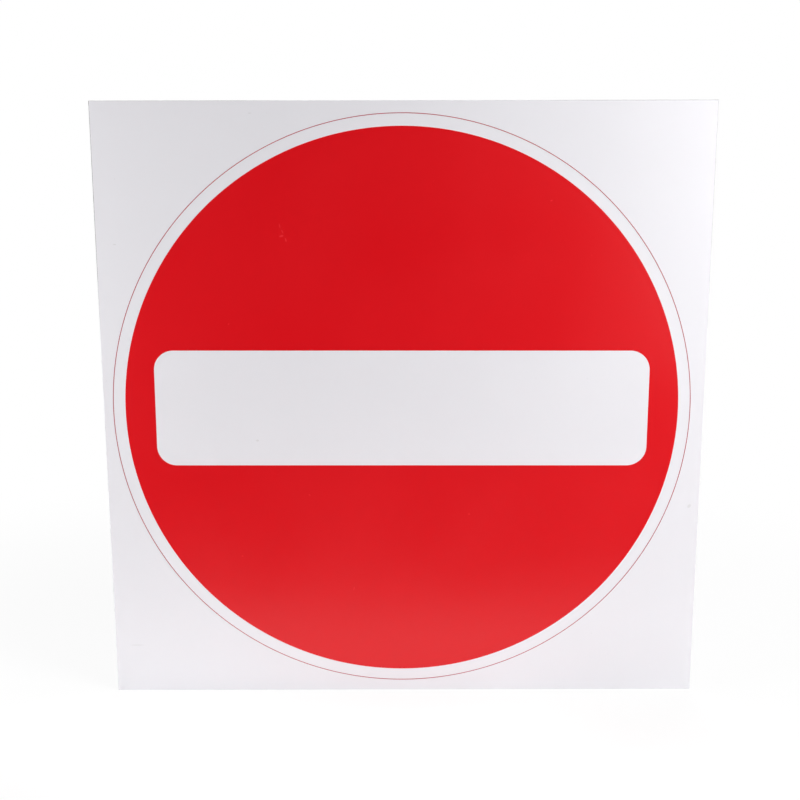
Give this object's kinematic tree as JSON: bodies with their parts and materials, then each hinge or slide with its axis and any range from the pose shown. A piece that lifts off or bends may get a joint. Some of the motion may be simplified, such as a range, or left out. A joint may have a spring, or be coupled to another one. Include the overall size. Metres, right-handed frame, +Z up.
{
  "type": "no entry sign",
  "caption": "Flat square white plastic sign plate printed with a red disc, a white bar across it and a thin red trim circle.",
  "frame": {"origin": "middle of the plain back face, which goes against a wall, a fence or a post", "axes": "+Z up, +X to the right for someone who looks at the printed face, +Y from the printed face to the back face"},
  "size_m": [0.6, 0.0021, 0.6],
  "materials": {
    "white_plastic": "satin",
    "red_print": "satin",
    "deep_red_print": "satin"
  },
  "bodies": {
    "root": {"sign_sheet": "white_plastic", "red_disc": "red_print", "trim_line": "deep_red_print"}
  },
  "joints": []
}
